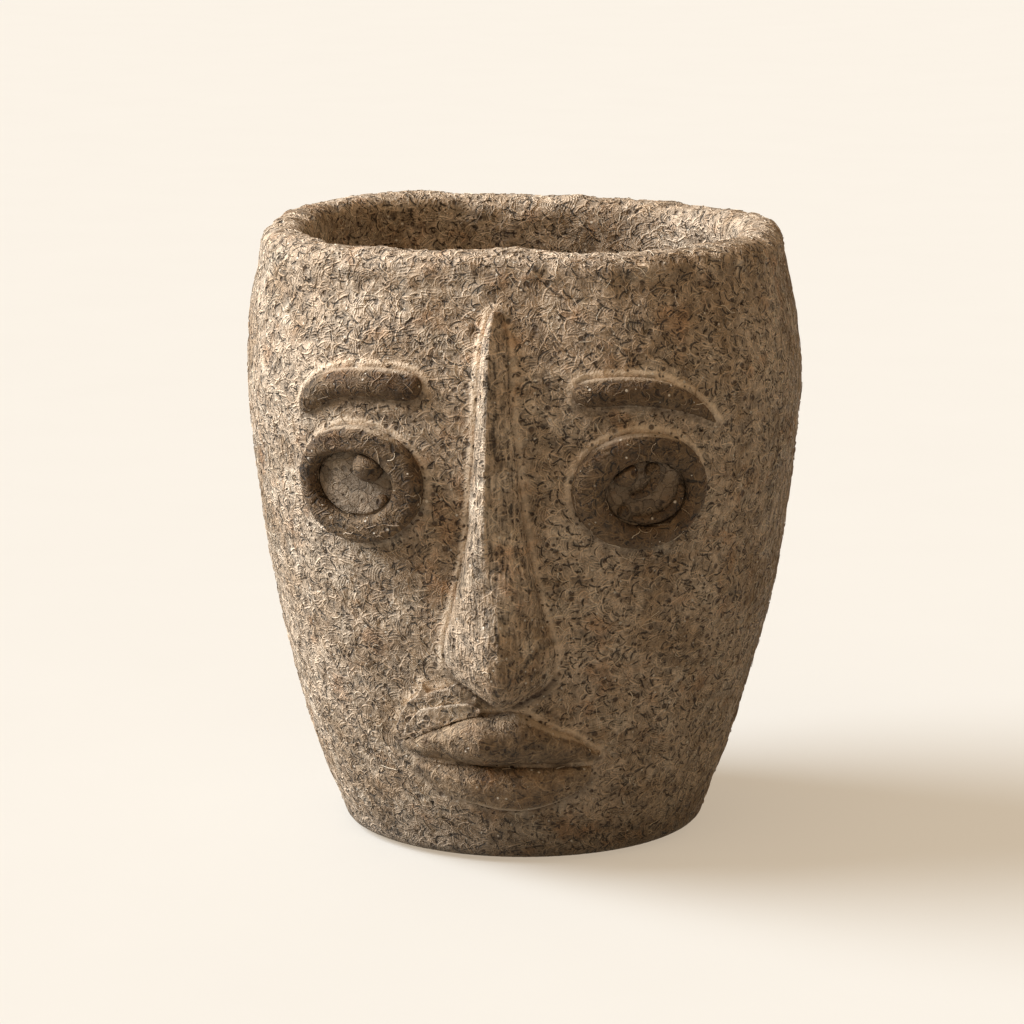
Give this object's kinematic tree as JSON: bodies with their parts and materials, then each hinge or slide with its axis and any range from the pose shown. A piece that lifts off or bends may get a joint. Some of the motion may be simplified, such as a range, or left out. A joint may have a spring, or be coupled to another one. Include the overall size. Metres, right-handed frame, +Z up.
{
  "type": "head planter",
  "caption": "Hand-formed stone and fibre mix plant pot with an applied face, open top, drain hole with a lift-out stopper and pads under the base.",
  "frame": {"origin": "centre of the base, in the plane of the four pad faces that the pot stands on", "axes": "+Z up the pot, -Y out of the face, +X to the right of someone who looks at the face"},
  "size_m": [0.1838, 0.1824, 0.2],
  "materials": {
    "stone_mix": "matte",
    "plug_rubber": "matte",
    "pad_rubber": "matte"
  },
  "bodies": {
    "pot": {"pot_body": "stone_mix", "nose": "stone_mix", "left_brow": "stone_mix", "right_brow": "stone_mix", "left_eye_ring": "stone_mix", "right_eye_ring": "stone_mix", "left_eye_disc": "stone_mix", "right_eye_disc": "stone_mix", "left_pupil": "stone_mix", "right_pupil": "stone_mix", "left_lump": "stone_mix", "right_lump": "stone_mix", "right_eye_curl": "stone_mix", "right_eye_coil": "stone_mix", "upper_lip": "stone_mix", "lower_lip": "stone_mix", "lip_ledge": "stone_mix", "lip_ledge_fold": "stone_mix", "foot_pad_1": "pad_rubber", "foot_pad_2": "pad_rubber", "foot_pad_3": "pad_rubber", "foot_pad_4": "pad_rubber"},
    "stopper": {"drain_plug": "plug_rubber"}
  },
  "joints": [
    {"name": "plug_lift", "type": "slide", "parent": "pot", "child": "stopper", "axis": [0, 0, 1], "range_m": [0, 0.205]}
  ]
}
